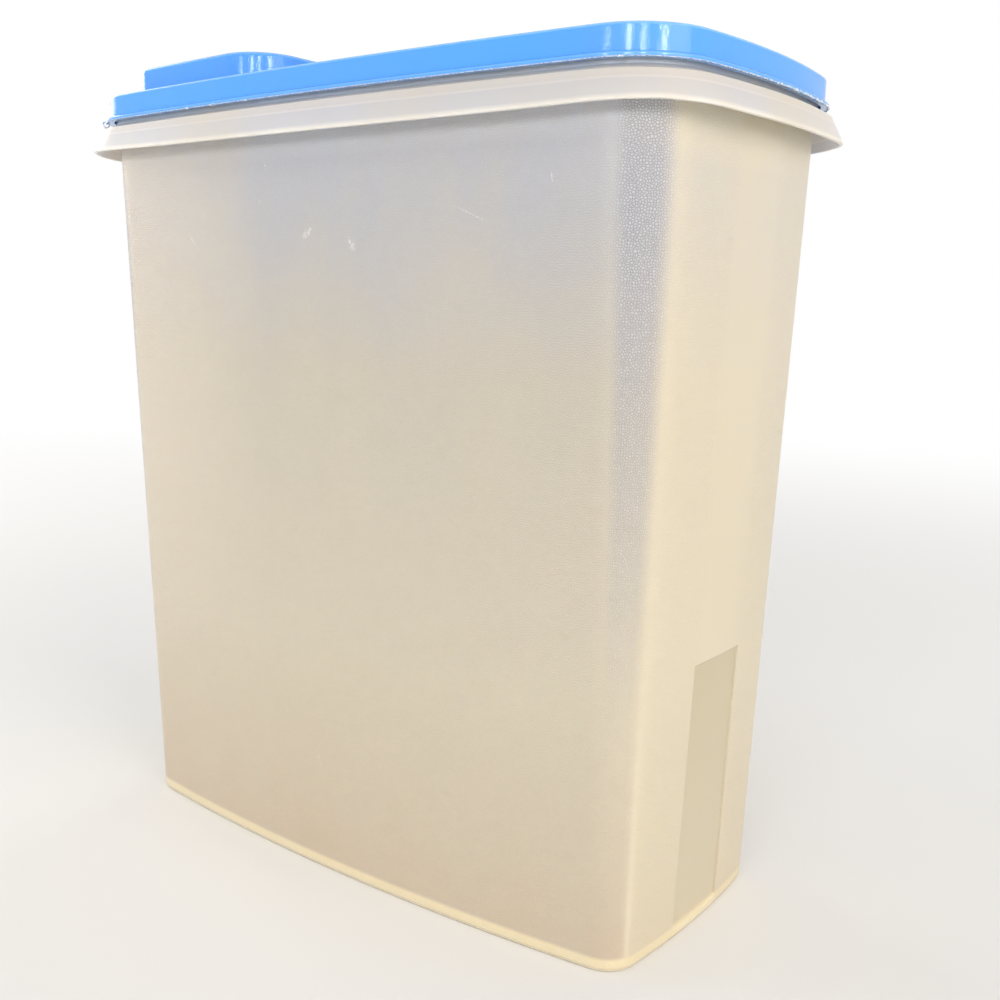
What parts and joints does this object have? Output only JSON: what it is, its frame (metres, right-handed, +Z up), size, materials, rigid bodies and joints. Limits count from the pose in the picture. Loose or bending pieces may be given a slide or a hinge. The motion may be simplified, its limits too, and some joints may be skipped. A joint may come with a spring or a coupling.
{
  "type": "cereal container",
  "caption": "Tall tapered kitchen canister for dry food with a flared skirt, a press-on lid and a hinged pour cap at one end.",
  "frame": {"origin": "centre of the footprint, on the surface that the canister stands on", "axes": "+Z up; X along the length, with the pour spout at the -X end; Y across the width"},
  "size_m": [0.2852, 0.1454, 0.302],
  "materials": {
    "canister": "milky translucent polypropylene with a fine pebble grain",
    "lid": "smooth sky blue polyethylene"
  },
  "bodies": {
    "container": {"container": "canister"},
    "lid": {"lid": "lid"},
    "flip_cap": {"flip_cap": "lid"}
  },
  "joints": [
    {"name": "lid_lift", "type": "slide", "parent": "container", "child": "lid", "axis": [0, 0, 1], "range_m": [0, 0.1]},
    {"name": "cap_hinge", "type": "hinge", "parent": "lid", "child": "flip_cap", "pos_m": [-0.038, 0, 0.288], "axis": [0, 1, 0], "range_deg": [0, 115]}
  ]
}
